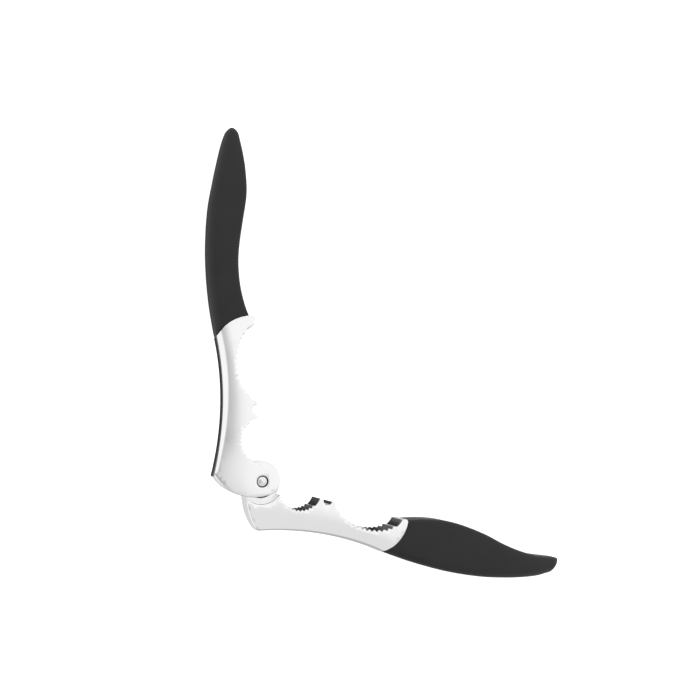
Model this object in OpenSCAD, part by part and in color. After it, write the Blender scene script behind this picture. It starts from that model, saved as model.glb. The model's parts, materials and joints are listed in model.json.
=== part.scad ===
// Hinged nutcracker with two nut pockets and nested soft grips.
//
// It lies flat on its side on z = 0 with the hinge pin standing along +Z.
// Each lever is drawn in its own lever frame: x runs from the pin along the closing line,
// and y runs away from the other lever. The lower lever is that frame mirrored, so its closing
// line lies along +X. The upper lever is that frame turned by the opening angle.

/* [Opening] */
// Angle between the two closing lines when the tool is fully open
open_angle = 108.6; // [60:0.1:110]
// Distance each lip keeps from the closing line, so that shut lips just miss each other
lip_clearance = 0.15; // [0.05:0.05:0.5]

/* [Levers] */
// Thickness of the castings and grips across the jaws
lever_t = 15; // [13:0.5:18]
// Radius of the long hollow arc along each lever's back
back_r = 156; // [150:1:200]
// Radius of the lower lever's curved heel beside the hinge
lower_heel_r = 34; // [33.5:0.1:34.5]
// Radius of the upper lever's curved heel, which bulges more
upper_heel_r = 25.6; // [25.3:0.1:25.8]
// Radius of the arc where the bare upper casting ends and its grip begins
upper_edge_r = 22.3; // [21:0.1:23]
// Radius of the arc where the bare lower casting ends and its grip begins
lower_edge_r = 21; // [20:0.1:22]

/* [Nut pockets] */
// Distance from the pin to the middle of the walnut pocket
walnut_x = 59.8; // [59:0.1:60.5]
// Half the length of the walnut pocket
walnut_a = 19.6; // [18:0.1:19.8]
// Depth of the walnut pocket in one lever
walnut_b = 11; // [9:0.1:12]
// Distance between neighbouring walnut pocket teeth
walnut_pitch = 2.9; // [2:0.1:4]
// Height of the walnut pocket teeth
walnut_tooth = 1.2; // [0.6:0.1:1.5]
// Distance from the pin to the middle of the hazelnut pocket
hazelnut_x = 20.3; // [20:0.1:21]
// Half the length of the hazelnut pocket
hazelnut_a = 11.3; // [10:0.1:11.5]
// Depth of the hazelnut pocket in one lever
hazelnut_b = 10; // [8:0.1:10.5]
// Distance between neighbouring hazelnut pocket teeth
hazelnut_pitch = 2.1; // [1.5:0.1:3]
// Height of the hazelnut pocket teeth
hazelnut_tooth = 0.9; // [0.5:0.1:1.2]

/* [Hinge] */
// Radius of the upper lever's two round cheeks
cheek_r = 9.4; // [8.5:0.1:9.6]
// Radius of the lower lever's tongue between the cheeks
tongue_r = 10.3; // [9.5:0.1:10.4]
// Radius of the round seat in the lower lever that the cheeks turn in
seat_r = 11.1; // [11:0.1:11.6]
// Thickness of the tongue
tongue_t = 5.6; // [4:0.1:6]
// Thickness of each washer beside the tongue
washer_t = 0.5; // [0.3:0.05:0.8]
// Radius of the hinge pin's shank
pin_r = 2; // [1.8:0.05:2.2]
// Radius of the hinge pin's two heads
pin_head_r = 2.7; // [2.5:0.05:2.8]
// Radius of the hollow around each pin head
counterbore_r = 3; // [2.9:0.1:4]

/* [Grips] */
// Distance from the pin to the tip of the upper grip
upper_tip_x = 187; // [184:0.5:192]
// Distance from the pin to the tip of the lower grip
lower_tip_x = 184; // [182:0.5:188]
// Height of the grips across the tool at their tips
tip_t = 10; // [7:0.5:13]
// Corner radius along the back of each grip
outer_edge_r = 4.2; // [2:0.1:5]
// Corner radius along the inner side of each grip
inner_edge_r = 1.6; // [0.8:0.1:2.5]
// Thickness of the soft skin over the hard core
skin_t = 2; // [1.5:0.1:2.2]
// Thickness of the steel tang inside the grips
tang_t = 5; // [4:0.1:6]
// Radius of the cross pins that lock the core to the tang
cross_pin_r = 1.5; // [1:0.1:1.8]

/* [Hidden] */
$fn = 96;

mid_z = lever_t / 2;
cut = 1;                       // how far a cutting tool runs past what it cuts

// The heel corner, where the hollow back meets the curved heel
heel_corner_x = 4.2;
back_low_x = 48;               // where the hollow back is nearest the closing line
back_low_y = 17.8;
lower_heel_centre = [26.3, -1.8];
upper_heel_centre = [17.9, 2.2];
edge_centre = [62, 1.4];       // centre of the arc at the end of the bare casting

// Flat lands beside the pockets, and the nose of the lip
land_y = 0.9;
lip_flat_x = walnut_x + walnut_a;
lip_nose_r = 1.6;
notch_x = 36;                  // the small notch between the two pockets
notch_r = 2.4;
lip_drop = 0.4;                // how far the lip's corner drops from the land to the nose
smooth_wall = 5.2;             // height of the plain wall at each end of a pocket

// Hinge slot: tongue, two washers and the running clearance of the whole stack
side_clearance = 0.1;
slot_t = tongue_t + 2 * washer_t + 2 * side_clearance;
slot_r = tongue_r + 0.9;
running_clearance = 0.05;
pin_head_t = 1.2;
pin_sunk = 0.15;               // how far the upper head sits below the cheek
seat_bevel = 0.8;
eye_flat_x = 9.8;              // jaw side of the eye, which closes the hazelnut pocket
eye_shoulder_y = 6.9;

// Side outlines of the grips as [distance from pin, distance from closing line]
upper_back = [[66, 18.6], [76, 20.3], [90, 22.2], [106, 23.3], [122, 23.3], [142, 21.6],
              [158, 18.4], [174, 13.9], [188, 9]];
upper_front = [[70, -3], [84, 3.1], [90, 5.1], [100, 7], [112, 7.5], [122, 6.6], [134, 4.5],
               [150, 1.7], [164, 1.9], [174, 3.6], [188, 6.9]];
lower_back = [[62, 18.3], [70, 19.2], [92, 21.2], [114, 21.7], [134, 20.4], [150, 17.9],
              [166, 14], [173, 11.5], [179, 8.2], [185, 3]];
lower_front = [[66, 4], [82, 0.5], [91, -2], [101, -3.9], [111, -4.6], [122, -4], [133, -2.6],
               [144, -0.3], [156, 1.2], [167, 1.5], [178, 0.4], [185, -0.5]];
grip_start_x = 66;
taper_start_x = 140;           // from here the grips grow thinner towards the tip
section_count = 34;
round_end_steps = 6;
corner_steps = 5;

// Tang and core inside the grips
tang_half_w = 3.5;
tang_start_x = 79;               // inside the casting, behind the walnut pocket
tang_end_x = 150;
front_pin_x = 106;             // the cross pin nearer the hinge
rear_pin_x = 134;
core_start_gap = 2.5;          // skin left in front of the core
core_end_gap = 11;             // soft skin left at the tip
core_t = 10;

// ---- curves ----

function slope_at(p, i) =
    let (a = max(i - 1, 0), b = min(i + 1, len(p) - 1))
    (p[b][1] - p[a][1]) / (p[b][0] - p[a][0]);

function segment_of(p, x, i = 0) =
    (i >= len(p) - 2 || x <= p[i + 1][0]) ? i : segment_of(p, x, i + 1);

// Height at x of the smooth curve through the points p
function curve(p, x) =
    let (
        i = segment_of(p, x),
        w = p[i + 1][0] - p[i][0],
        u = (x - p[i][0]) / w,
        start_slope = slope_at(p, i) * w,
        end_slope = slope_at(p, i + 1) * w
    )
    (2 * pow(u, 3) - 3 * pow(u, 2) + 1) * p[i][1] + (pow(u, 3) - 2 * pow(u, 2) + u) * start_slope
    + (3 * pow(u, 2) - 2 * pow(u, 3)) * p[i + 1][1] + (pow(u, 3) - pow(u, 2)) * end_slope;

function arc(centre, r, from, to, steps) =
    [for (i = [0 : steps])
        let (a = from + (to - from) * i / steps)
        centre + r * [cos(a), sin(a)]];

// Height of the hollow back above the closing line
function back_y(x) = back_low_y + back_r - sqrt(pow(back_r, 2) - pow(x - back_low_x, 2));

function back_line(x_end) =
    [for (i = [0 : 14])
        let (x = heel_corner_x + (x_end - heel_corner_x) * i / 14)
        [x, back_y(x)]];

// ---- nut pockets ----

// Arc length in millimetres for one degree of the ellipse angle t
function ellipse_step(a, b, t) = PI / 180 * sqrt(pow(a * sin(t), 2) + pow(b * cos(t), 2));

function tooth_angles(a, b, step, t, stop) =
    t > stop ? [] : concat([t], tooth_angles(a, b, step, t + step / ellipse_step(a, b, t), stop));

module nut_pocket(x, a, b, pitch, tooth) {
    first = asin(smooth_wall / b);
    angles = tooth_angles(a, b, pitch / 2, first, 180 - first);
    teeth = [for (i = [0 : len(angles) - 1])
        let (d = i % 2 == 0 ? 0 : tooth)
        [x + (a - d) * cos(angles[i]), (b - d) * sin(angles[i])]];
    wall_steps = 5;
    near_wall = [for (i = [0 : wall_steps - 1])
        let (t = first * i / wall_steps)
        [x + a * cos(t), b * sin(t)]];
    far_wall = [for (i = [1 : wall_steps])
        let (t = 180 - first * (1 - i / wall_steps))
        [x + a * cos(t), b * sin(t)]];
    below = -2;
    polygon(concat([[x + a, below]], near_wall, teeth, far_wall, [[x - a, below]]));
}

// ---- castings ----

// Angle on the grip edge arc at which it meets the hollow back
function edge_back_angle(r, a = 60) =
    let (p = edge_centre + r * [cos(a), sin(a)], miss = back_y(p[0]) - p[1])
    abs(miss) < 0.01 ? a : edge_back_angle(r, a + miss * 2);

// Side view of the bare casting before the pockets are cut, from heel to grip
module casting_blank(edge_r, heel_centre, heel_r) {
    top = edge_back_angle(edge_r);
    heel_top = atan2(back_y(heel_corner_x) - heel_centre[1], heel_corner_x - heel_centre[0]);
    heel_foot = 180 - asin((land_y - heel_centre[1]) / heel_r);
    lip_end = asin((lip_nose_r + lip_clearance - edge_centre[1]) / edge_r);
    grip_edge = arc(edge_centre, edge_r, top, lip_end, 14);
    nose_x = edge_centre[0] + edge_r - lip_nose_r;
    polygon(concat(
        arc(heel_centre, heel_r, heel_foot, heel_top, 10),
        back_line(edge_centre[0] + edge_r * cos(top)),
        grip_edge,
        arc([nose_x, lip_clearance + lip_nose_r], lip_nose_r, -15, -90, 5),
        [[lip_flat_x, land_y - lip_drop], [lip_flat_x - 1, land_y]]
    ));
}

// Side view of one jaw: blank less both pockets and the notch between them
module jaw(edge_r, heel_centre, heel_r) {
    difference() {
        casting_blank(edge_r, heel_centre, heel_r);
        nut_pocket(walnut_x, walnut_a, walnut_b, walnut_pitch, walnut_tooth);
        nut_pocket(hazelnut_x, hazelnut_a, hazelnut_b, hazelnut_pitch, hazelnut_tooth);
        translate([notch_x, land_y]) circle(r = notch_r, $fn = 32);
    }
}

// Round eye about the pin, cut off along the heel
module eye(r, heel_centre, heel_r) {
    shoulder_x = heel_centre[0] - heel_r + 0.4;
    intersection() {
        union() {
            circle(r = r);
            translate([shoulder_x, 0]) square([eye_flat_x - shoulder_x, eye_shoulder_y]);
        }
        translate(heel_centre) circle(r = heel_r, $fn = 200);
    }
}

// Side view of the tang, which follows the middle of the grip
module tang_outline(back, front) {
    steps = 18;
    xs = [for (i = [0 : steps]) tang_start_x + (tang_end_x - tang_start_x) * i / steps];
    function middle(x) = (curve(back, x) + curve(front, x)) / 2;
    polygon(concat(
        [for (i = [0 : steps]) [xs[i], middle(xs[i]) + tang_half_w]],
        [for (i = [steps : -1 : 0]) [xs[i], middle(xs[i]) - tang_half_w]]
    ));
}

module cross_pin(back, front, x, length) {
    translate([x, (curve(back, x) + curve(front, x)) / 2, mid_z - length / 2])
        cylinder(r = cross_pin_r, h = length, $fn = 32);
}

module both_pin_holes(back, front) {
    for (x = [front_pin_x, rear_pin_x])
        cross_pin(back, front, x, lever_t);
}

module tang(back, front) {
    difference() {
        translate([0, 0, mid_z - tang_t / 2])
            linear_extrude(tang_t) tang_outline(back, front);
        both_pin_holes(back, front);
    }
}

// ---- grips ----

// Half the height of a grip across the tool at x
function grip_half_t(x, tip_x) =
    let (u = max(0, (x - taper_start_x) / (tip_x - taper_start_x)))
    (lever_t - (lever_t - tip_t) * pow(u, 2)) / 2;

// One cross-section: a rectangle whose corners are rounder along the back than along the front
function grip_section(x, low, high, half_t) =
    let (
        room = 0.95 * min((high - low) / 2, half_t),
        back_round = min(outer_edge_r, room),
        front_round = min(inner_edge_r, room),
        corners = [
            [high - back_round, half_t - back_round, back_round, 0],
            [low + front_round, half_t - front_round, front_round, 90],
            [low + front_round, front_round - half_t, front_round, 180],
            [high - back_round, back_round - half_t, back_round, 270]
        ]
    )
    [for (c = corners)
        for (i = [0 : corner_steps])
            let (a = c[3] + 90 * i / corner_steps)
            [x, c[0] + c[2] * cos(a), mid_z + c[1] + c[2] * sin(a)]];

// Sections along the grip, then a round end that closes on the tip
function grip_sections(back, front, tip_x) =
    let (
        probe_x = tip_x - 3,
        tip_r = (curve(back, probe_x) - curve(front, probe_x)) / 2,
        end_x = tip_x - tip_r,
        along = [for (i = [0 : section_count])
            let (x = grip_start_x + (end_x - grip_start_x) * i / section_count)
            grip_section(x, curve(front, x), curve(back, x), grip_half_t(x, tip_x))],
        middle = (curve(back, end_x) + curve(front, end_x)) / 2,
        half_w = (curve(back, end_x) - curve(front, end_x)) / 2,
        round_end = [for (i = [1 : round_end_steps])
            let (a = 85 * i / round_end_steps, s = cos(a))
            grip_section(end_x + tip_r * sin(a), middle - half_w * s, middle + half_w * s,
                         grip_half_t(end_x, tip_x) * (0.55 + 0.45 * s))]
    )
    concat(along, round_end);

module grip_body(back, front, tip_x) {
    sections = grip_sections(back, front, tip_x);
    n = len(sections[0]);
    last = len(sections) - 1;
    polyhedron(
        points = [for (s = sections) for (p = s) p],
        faces = concat(
            [[for (i = [0 : n - 1]) i]],
            [[for (i = [n - 1 : -1 : 0]) last * n + i]],
            [for (k = [0 : last - 1])
                for (i = [0 : n - 1])
                    for (f = [[k * n + i, (k + 1) * n + i, (k + 1) * n + (i + 1) % n],
                              [k * n + i, (k + 1) * n + (i + 1) % n, k * n + (i + 1) % n]])
                        f]
        )
    );
}

module core_outline(back, front, tip_x, edge_r) {
    steps = 24;
    last_x = tip_x - core_end_gap;
    difference() {
        polygon(concat(
            [for (i = [0 : steps])
                let (x = grip_start_x + (last_x - grip_start_x) * i / steps)
                [x, curve(back, x) - skin_t]],
            [for (i = [steps : -1 : 0])
                let (x = grip_start_x + (last_x - grip_start_x) * i / steps)
                [x, curve(front, x) + skin_t]]
        ));
        translate(edge_centre) circle(r = edge_r + core_start_gap);
    }
}

module grip_core(back, front, tip_x, edge_r) {
    difference() {
        translate([0, 0, mid_z - core_t / 2])
            linear_extrude(core_t) core_outline(back, front, tip_x, edge_r);
        translate([0, 0, mid_z - tang_t / 2])
            linear_extrude(tang_t) tang_outline(back, front);
        both_pin_holes(back, front);
    }
}

module grip_skin(back, front, tip_x, edge_r) {
    difference() {
        grip_body(back, front, tip_x);
        translate([edge_centre[0], edge_centre[1], -cut]) cylinder(r = edge_r, h = lever_t + 2 * cut);
        translate([0, 0, mid_z - core_t / 2])
            linear_extrude(core_t) core_outline(back, front, tip_x, edge_r);
        translate([0, 0, mid_z - tang_t / 2])
            linear_extrude(tang_t) tang_outline(back, front);
    }
}

// ---- placing the two levers ----

module as_lower() { mirror([0, 1, 0]) children(); }
module as_upper() { rotate([0, 0, open_angle]) children(); }

// Both faces of the tool at the hinge, for cuts made from each side
module each_side() {
    children();
    translate([0, 0, lever_t]) mirror([0, 0, 1]) children();
}

// ---- sub-parts ----

module lower_lever() {
    seat_depth = (lever_t - tongue_t) / 2;
    color("silver") as_lower() difference() {
        union() {
            difference() {
                linear_extrude(lever_t) jaw(lower_edge_r, lower_heel_centre, lower_heel_r);
                each_side() {
                    translate([0, 0, -cut]) cylinder(r = seat_r, h = seat_depth + cut);
                    translate([0, 0, -seat_bevel])
                        cylinder(r1 = seat_r + 2 * seat_bevel, r2 = seat_r, h = 2 * seat_bevel);
                }
            }
            translate([0, 0, seat_depth]) linear_extrude(tongue_t)
                eye(tongue_r, lower_heel_centre, lower_heel_r);
            tang(lower_back, lower_front);
        }
        translate([0, 0, -cut]) cylinder(r = pin_r + running_clearance, h = lever_t + 2 * cut);
    }
}

module upper_lever() {
    color("silver") as_upper() difference() {
        union() {
            linear_extrude(lever_t) union() {
                jaw(upper_edge_r, upper_heel_centre, upper_heel_r);
                eye(cheek_r, upper_heel_centre, upper_heel_r);
            }
            tang(upper_back, upper_front);
        }
        translate([0, 0, mid_z - slot_t / 2]) cylinder(r = slot_r, h = slot_t);
        translate([0, 0, -cut]) cylinder(r = pin_r, h = lever_t + 2 * cut);
        each_side() translate([0, 0, -cut]) cylinder(r = counterbore_r, h = pin_head_t + cut);
    }
}

module hinge_pin() {
    color("gainsboro") {
        cylinder(r = pin_head_r, h = pin_head_t);
        translate([0, 0, pin_head_t]) cylinder(r = pin_r, h = lever_t - 2 * pin_head_t);
        translate([0, 0, lever_t - pin_head_t]) cylinder(r = pin_head_r, h = pin_head_t - pin_sunk);
    }
}

module washer(side) {
    color("dimgray") translate([0, 0, mid_z + side * (tongue_t + washer_t) / 2 - washer_t / 2])
        difference() {
            cylinder(r = cheek_r - 1, h = washer_t);
            translate([0, 0, -cut]) cylinder(r = pin_r + running_clearance, h = washer_t + 2 * cut);
        }
}

module lower_washer() { washer(-1); }
module upper_washer() { washer(1); }

module lower_grip_core() {
    color("dimgray") as_lower() grip_core(lower_back, lower_front, lower_tip_x, lower_edge_r);
}

module upper_grip_core() {
    color("dimgray") as_upper() grip_core(upper_back, upper_front, upper_tip_x, upper_edge_r);
}

module lower_grip_skin() {
    color("black") as_lower() grip_skin(lower_back, lower_front, lower_tip_x, lower_edge_r);
}

module upper_grip_skin() {
    color("black") as_upper() grip_skin(upper_back, upper_front, upper_tip_x, upper_edge_r);
}

module lower_front_cross_pin() {
    color("gray") as_lower() cross_pin(lower_back, lower_front, front_pin_x, core_t);
}

module lower_rear_cross_pin() {
    color("gray") as_lower() cross_pin(lower_back, lower_front, rear_pin_x, core_t);
}

module upper_front_cross_pin() {
    color("gray") as_upper() cross_pin(upper_back, upper_front, front_pin_x, core_t);
}

module upper_rear_cross_pin() {
    color("gray") as_upper() cross_pin(upper_back, upper_front, rear_pin_x, core_t);
}

lower_lever();
upper_lever();
hinge_pin();
lower_washer();
upper_washer();
lower_grip_core();
upper_grip_core();
lower_grip_skin();
upper_grip_skin();
lower_front_cross_pin();
lower_rear_cross_pin();
upper_front_cross_pin();
upper_rear_cross_pin();
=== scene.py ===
# %% [markdown]
# # A hinged nutcracker with soft grips
# The tool lies flat on its side, opened wide. Two zinc castings carry the nut pockets, a riveted
# pin joins them, and a soft black grip covers the tang of each casting.
# The CAD model holds the sizes and the motion. Here each plain CAD solid gets a finished piece
# in its place: rounded castings, lofted grips, a crowned rivet and worn-in finishes.

# %% Load the CAD frame
import json
import math

import bmesh
import bpy
from mathutils import Matrix, Vector


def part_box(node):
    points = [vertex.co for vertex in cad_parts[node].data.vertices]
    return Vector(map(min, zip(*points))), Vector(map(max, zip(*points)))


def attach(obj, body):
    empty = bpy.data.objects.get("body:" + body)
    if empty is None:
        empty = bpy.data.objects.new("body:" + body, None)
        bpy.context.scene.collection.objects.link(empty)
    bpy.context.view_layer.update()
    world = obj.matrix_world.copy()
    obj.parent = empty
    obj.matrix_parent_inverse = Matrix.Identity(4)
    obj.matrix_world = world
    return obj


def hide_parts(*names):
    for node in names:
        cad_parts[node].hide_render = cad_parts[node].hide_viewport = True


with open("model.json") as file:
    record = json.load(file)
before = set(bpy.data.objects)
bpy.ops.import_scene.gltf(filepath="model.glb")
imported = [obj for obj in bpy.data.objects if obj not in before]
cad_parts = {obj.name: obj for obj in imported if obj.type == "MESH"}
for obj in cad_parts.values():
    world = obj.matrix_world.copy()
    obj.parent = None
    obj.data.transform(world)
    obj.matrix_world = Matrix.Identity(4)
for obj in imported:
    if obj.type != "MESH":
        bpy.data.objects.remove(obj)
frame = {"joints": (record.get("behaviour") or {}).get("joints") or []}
bpy.context.view_layer.update()

# %% [markdown]
# ## Units and lever frames
# Every piece is drawn in millimetres in its lever's own frame. X runs from the pin along the
# closing line, Y runs away from the other lever, and Z is measured from the middle of the
# thickness. The lower lever is that frame mirrored, and the upper lever is that frame turned by
# the opening angle, so one recipe serves both levers.

# %% Units and the place of each lever
MM = 0.001
TOP = round(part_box("lower_lever")[1].z / MM, 3)
HALF_T = TOP / 2
OPEN_ANGLE = -frame["joints"][0]["range_deg"][0]
TO_LOWER = Matrix.Translation((0, 0, HALF_T * MM)) @ Matrix.Diagonal((MM, -MM, MM, 1))
TO_UPPER = (Matrix.Translation((0, 0, HALF_T * MM)) @ Matrix.Rotation(math.radians(OPEN_ANGLE), 4, "Z")
            @ Matrix.Diagonal((MM, MM, MM, 1)))
print("thickness", TOP, "mm, opened by", OPEN_ANGLE, "degrees")

# %% [markdown]
# ## Two kinds of line
# A cutter or a die maker draws with arcs and fair curves. Arcs give the heel, the eye, the notch
# and the lip. A smooth curve through a few named points gives the sides of the grips: it is a
# cubic that leaves each point with the slope of the line between its two neighbours.

# %% Arcs and smooth curves
def arc(centre, radius, start, end, steps):
    """Points on a circle from one angle to another, in degrees."""
    turns = [math.radians(start + (end - start) * i / steps) for i in range(steps + 1)]
    return [(centre[0] + radius * math.cos(a), centre[1] + radius * math.sin(a)) for a in turns]


def smooth_curve(points):
    """The height at x of a smooth curve through a few points."""

    def slope(i):
        a = points[max(i - 1, 0)]
        b = points[min(i + 1, len(points) - 1)]
        return (b[1] - a[1]) / (b[0] - a[0])

    def height(x):
        i = 0
        while i < len(points) - 2 and x > points[i + 1][0]:
            i += 1
        width = points[i + 1][0] - points[i][0]
        u = (x - points[i][0]) / width
        start = (2 * u**3 - 3 * u**2 + 1) * points[i][1] + (u**3 - 2 * u**2 + u) * width * slope(i)
        end = (3 * u**2 - 2 * u**3) * points[i + 1][1] + (u**3 - u**2) * width * slope(i + 1)
        return start + end

    return height


print("a quarter arc of radius 1 ends at", [round(c, 3) for c in arc((0, 0), 1, 0, 90, 4)[-1]])

# %% [markdown]
# ## From a drawn mesh to a piece
# Every piece ends the same way. Its points go from the lever frame to their place in metres, so
# the object itself stays at the origin. Doubled points are merged, the faces are turned to point
# outwards, and edges sharper than an angle stay crisp while the rest shade smoothly.

# %% Finish a piece
MERGE_DISTANCE = 0.002
SHARP_ANGLE = 38


def finish_piece(bm, name, place, body, sharp_angle=SHARP_ANGLE):
    """Makes an object of a bmesh drawn in a lever frame, and lets it ride on its CAD body."""
    bmesh.ops.transform(bm, matrix=place, verts=bm.verts)
    bmesh.ops.remove_doubles(bm, verts=bm.verts, dist=MERGE_DISTANCE * MM)
    bmesh.ops.recalc_face_normals(bm, faces=bm.faces)
    if bm.calc_volume(signed=True) < 0:
        bmesh.ops.reverse_faces(bm, faces=bm.faces)
    for face in bm.faces:
        face.smooth = True
    mesh = bpy.data.meshes.new(name)
    bm.to_mesh(mesh)
    bm.free()
    mesh.set_sharp_from_angle(angle=math.radians(sharp_angle))
    piece = bpy.data.objects.new(name, mesh)
    bpy.context.scene.collection.objects.link(piece)
    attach(piece, body)
    print(name, len(mesh.polygons), "faces")
    return piece


print("points closer than", MERGE_DISTANCE, "mm are merged")

# %% [markdown]
# ## The outline of a casting
# Seen from the side, a casting is a closed outline: a curved heel, a long hollow back, an arc
# where the grip begins, a lip, two toothed pockets with a small notch between them, and a round
# eye about the pin. The two levers share the back, the pockets and the lip, and differ a little
# at the heel, at the eye and where the grip begins.

# %% Sizes of the side view
HEEL_CORNER_X = 4.2
BACK_RADIUS = 156
BACK_LOW = (48, 17.8)
EDGE_CENTRE = (62, 1.4)
LAND_Y = 0.9
LIP_CLEARANCE = 0.15
LIP_RADIUS = 1.6
LIP_END_ANGLE = -8
NOTCH_X = 36
NOTCH_RADIUS = 2.4
EYE_FLAT_X = 9.8
JAW_START_Y = 3.7
print("the hollow back is an arc of radius", BACK_RADIUS, "mm")

# %% [markdown]
# ## How round each edge is
# A casting is never sharp where the hand holds it, while its teeth stay crisp. Each stretch of
# the outline gets its own rounding, in millimetres: wide along the upper lever's back, less at
# the heel and the eye, and next to nothing at the teeth and where the grip meets the metal.

# %% Roundings
ROUND_BACK = 2.9
ROUND_HEEL = 0.5
ROUND_CORNER = 1.0
ROUND_EYE = 0.9
ROUND_JAW = 0.22
ROUND_LIP = 0.5
ROUND_NOTCH = 0.7
ROUND_GRIP_EDGE = 0.12
LOWER = {"eye": 10.3, "edge": 21, "heel": ((26.3, -1.8), 34), "eye_round": 0.35,
         "corner_radius": 2.2, "back_round": 1.5}
UPPER = {"eye": 9.4, "edge": 22.3, "heel": ((17.9, 2.2), 25.6), "eye_round": ROUND_EYE,
         "corner_radius": 0, "back_round": ROUND_BACK}
print("the upper back is rounded by", UPPER["back_round"], "mm")

# %% [markdown]
# ## Nut pockets
# A pocket is half an ellipse. The large one holds a walnut and the small one a hazelnut. Its
# ends are plain walls, so that the two halves meet cleanly when the tool is shut, and the rest
# is cut with small pointed teeth, spaced evenly along the ellipse, so that a nut can't slip out.

# %% Pocket outline
WALNUT = {"x": 59.8, "a": 19.6, "b": 11, "pitch": 2.9, "tooth": 1.2}
HAZELNUT = {"x": 20.3, "a": 11.3, "b": 10, "pitch": 2.1, "tooth": 0.9}
SMOOTH_WALL = 5.2
WALL_STEPS = 3


def pocket_line(x, a, b, pitch, tooth):
    """A nut pocket from its hinge side to its far side: a plain wall, teeth, a plain wall."""
    first = math.degrees(math.asin(SMOOTH_WALL / b))
    angles = []
    t = first
    while t <= 180 - first:
        angles.append(t)
        step = math.hypot(a * math.sin(math.radians(t)), b * math.cos(math.radians(t)))
        t += math.degrees(pitch / 2 / step)
    walls = [first * i / WALL_STEPS for i in range(WALL_STEPS)]
    foot = math.degrees(math.asin(LAND_Y / b))
    line = [(max(t, foot), 0) for t in walls]
    line += [(t, tooth if i % 2 else 0) for i, t in enumerate(angles)]
    line += [(min(180 - t, 180 - foot), 0) for t in reversed(walls)]
    points = [(x + (a - d) * math.cos(math.radians(t)), (b - d) * math.sin(math.radians(t)))
              for t, d in line]
    return points[::-1]


print("points along the walnut pocket", len(pocket_line(**WALNUT)))

# %% [markdown]
# ## Where the arcs meet
# The heel, the back, the eye and the grip's edge are all circles, so the corners between them
# are the crossings of circles. Working them out keeps the outline true when a size changes.

# %% Crossings and angles
EDGE_ANGLES = (40.0, 80.0)
HALVINGS = 40


def back_y(x):
    """Height of the hollow back above the closing line."""
    return BACK_LOW[1] + BACK_RADIUS - math.sqrt(BACK_RADIUS**2 - (x - BACK_LOW[0]) ** 2)


def crossing(circle_a, circle_b, axis):
    """The lower or left one of the two points where circles cross: axis is 0 for x, 1 for y."""
    (ax, ay), ra = circle_a
    (bx, by), rb = circle_b
    gap = math.hypot(bx - ax, by - ay)
    along = (ra**2 - rb**2 + gap**2) / (2 * gap)
    aside = math.sqrt(ra**2 - along**2)
    ux, uy = (bx - ax) / gap, (by - ay) / gap
    both = [(ax + along * ux - s * aside * uy, ay + along * uy + s * aside * ux) for s in (1, -1)]
    return min(both, key=lambda p: p[axis])


def angle_of(point, centre):
    """The direction of a point seen from a centre, in degrees."""
    return math.degrees(math.atan2(point[1] - centre[1], point[0] - centre[0]))


def edge_meets_back(radius):
    """Angle on the grip's edge arc at which it meets the hollow back, found by halving."""
    low, high = EDGE_ANGLES
    for _ in range(HALVINGS):
        mid = (low + high) / 2
        x, y = arc(EDGE_CENTRE, radius, mid, mid, 1)[0]
        low, high = (mid, high) if y < back_y(x) else (low, mid)
    return low


print("the grip's edge meets the back at", round(edge_meets_back(UPPER["edge"]), 1), "degrees")

# %% [markdown]
# ## Joining the stretches
# The outline runs once around the casting. The corner between the heel and the back is a small
# arc that touches both circles on the lower lever, and a plain corner on the upper one. Along
# the back, the rounding fades from the grip to the heel, so the soft edge ends in the corner.

# %% Whole outline
CORNER_ARC_STEPS = 4
HEEL_STEPS = 9
EYE_STEPS = 18
NOTCH_STEPS = 10
LIP_STEPS = 5
EDGE_STEPS = 7
BACK_STEPS = 16


def corner_fillet(heel, radius):
    """The small arc between the heel and the back, from the back to the heel."""
    if radius == 0:
        return [(HEEL_CORNER_X, back_y(HEEL_CORNER_X))]
    (hx, hy), heel_radius = heel
    back_centre = (BACK_LOW[0], BACK_LOW[1] + BACK_RADIUS)
    centre = crossing((back_centre, BACK_RADIUS + radius), ((hx, hy), heel_radius - radius), 0)
    start = angle_of(back_centre, centre)
    end = angle_of(centre, (hx, hy))
    return arc(centre, radius, start, end % 360, CORNER_ARC_STEPS)


def back_stretch(back_end, corner, back_round):
    """Points along the back with their roundings, from the grip's edge to the heel's corner."""
    line = []
    for i in range(BACK_STEPS + 1):
        share = i / BACK_STEPS
        x = back_end[0] + (corner[0] - back_end[0]) * share
        line.append(([(x, back_y(x))], back_round + (ROUND_CORNER - back_round) * share**2))
    return line


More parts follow.
